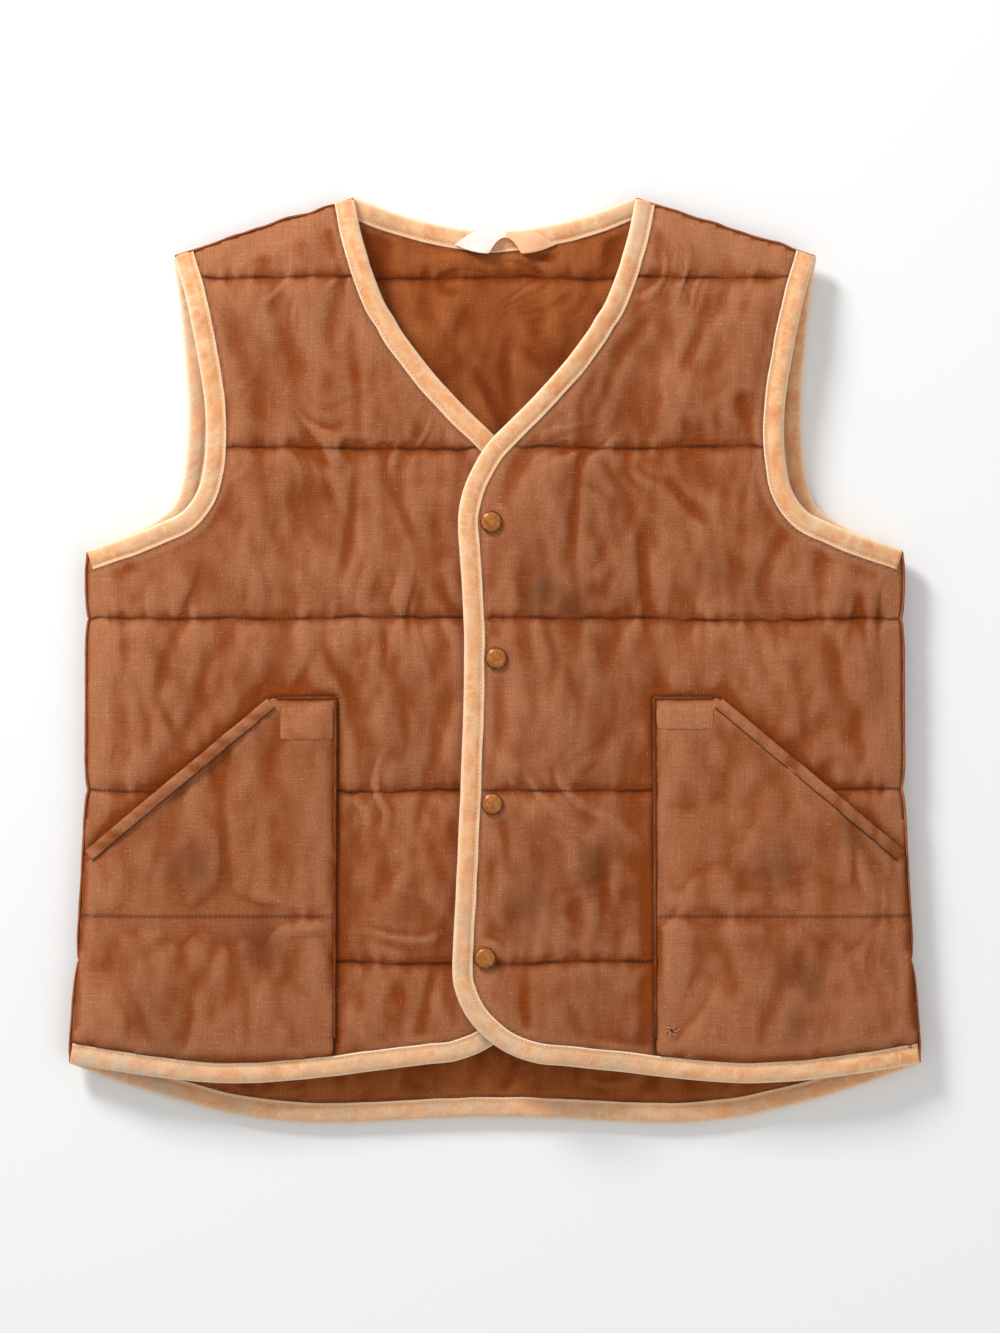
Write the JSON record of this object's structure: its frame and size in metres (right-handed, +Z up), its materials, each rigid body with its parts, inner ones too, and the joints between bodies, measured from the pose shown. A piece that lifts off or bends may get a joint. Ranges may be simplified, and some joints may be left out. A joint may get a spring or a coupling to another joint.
{
  "type": "fishing vest",
  "caption": "Quilted sleeveless vest lying flat, with bound edges, a snap front whose two halves fold open, slanted patch pockets and a neck hanging loop.",
  "frame": {"origin": "under the middle of the flat vest, on the surface it lies on", "axes": "+X to the wearer's left, +Y towards the collar, +Z up out of the front of the vest"},
  "size_m": [0.5858, 0.6366, 0.0399],
  "materials": {
    "shell_cloth": "slubbed plain-weave cotton, rust brown, quilted and faded on its crowns",
    "lining_cloth": "plain-weave cotton, rust brown, less faded",
    "quilt_fill": "soft off-white wadding",
    "binding_tape": "peach-tan folded cotton tape, edge-stitched, lightly soiled",
    "label_tape": "plain woven tape, white fading to peach, no lettering",
    "snap_cap_enamel": "domed amber-brown enamel with a darker rim",
    "snap_metal": "dull nickel-plated brass"
  },
  "bodies": {
    "root": {"back_fill": "quilt_fill", "back_hem_binding": "binding_tape", "back_lining": "lining_cloth", "back_neck_binding": "binding_tape", "back_shell": "shell_cloth", "left_back_armhole_binding": "binding_tape", "left_front_armhole_binding": "binding_tape", "left_hem_binding": "binding_tape", "left_neck_binding": "binding_tape", "left_pocket_panel": "shell_cloth", "left_pocket_patch": "shell_cloth", "left_pocket_trim": "shell_cloth", "left_shoulder_seam": "shell_cloth", "left_side_fill": "quilt_fill", "left_side_lining": "lining_cloth", "left_side_seam": "shell_cloth", "left_side_shell": "shell_cloth", "right_back_armhole_binding": "binding_tape", "right_front_armhole_binding": "binding_tape", "right_hem_binding": "binding_tape", "right_neck_binding": "binding_tape", "right_pocket_panel": "shell_cloth", "right_pocket_patch": "shell_cloth", "right_pocket_trim": "shell_cloth", "right_shoulder_seam": "shell_cloth", "right_side_fill": "quilt_fill", "right_side_lining": "lining_cloth", "right_side_seam": "shell_cloth", "right_side_shell": "shell_cloth"},
    "left_flap": {"left_flap_binding": "binding_tape", "left_flap_fill": "quilt_fill", "left_flap_lining": "lining_cloth", "left_flap_shell": "shell_cloth", "snap_1_cap": "snap_cap_enamel", "snap_1_socket": "snap_metal", "snap_2_cap": "snap_cap_enamel", "snap_2_socket": "snap_metal", "snap_3_cap": "snap_cap_enamel", "snap_3_socket": "snap_metal", "snap_4_cap": "snap_cap_enamel", "snap_4_socket": "snap_metal"},
    "right_flap": {"right_flap_binding": "binding_tape", "right_flap_fill": "quilt_fill", "right_flap_lining": "lining_cloth", "right_flap_shell": "shell_cloth", "snap_1_eyelet": "snap_metal", "snap_1_stud": "snap_metal", "snap_2_eyelet": "snap_metal", "snap_2_stud": "snap_metal", "snap_3_eyelet": "snap_metal", "snap_3_stud": "snap_metal", "snap_4_eyelet": "snap_metal", "snap_4_stud": "snap_metal"},
    "neck_label": {"neck_label": "label_tape"}
  },
  "joints": [
    {"name": "left_front_open", "type": "hinge", "parent": "root", "child": "left_flap", "pos_m": [0.088, 0, 0.0257], "axis": [0, 1, 0], "range_deg": [0, 150]},
    {"name": "right_front_open", "type": "hinge", "parent": "root", "child": "right_flap", "pos_m": [-0.088, 0, 0.0257], "axis": [0, -1, 0], "range_deg": [0, 75]},
    {"name": "hanging_loop_lift", "type": "hinge", "parent": "root", "child": "neck_label", "pos_m": [0.007, 0.29564, 0.0105], "axis": [-1, 0, 0], "range_deg": [0, 70]}
  ],
  "couplings": [
    {"joint": "right_front_open", "follows": "left_front_open", "ratio": 0.5}
  ]
}
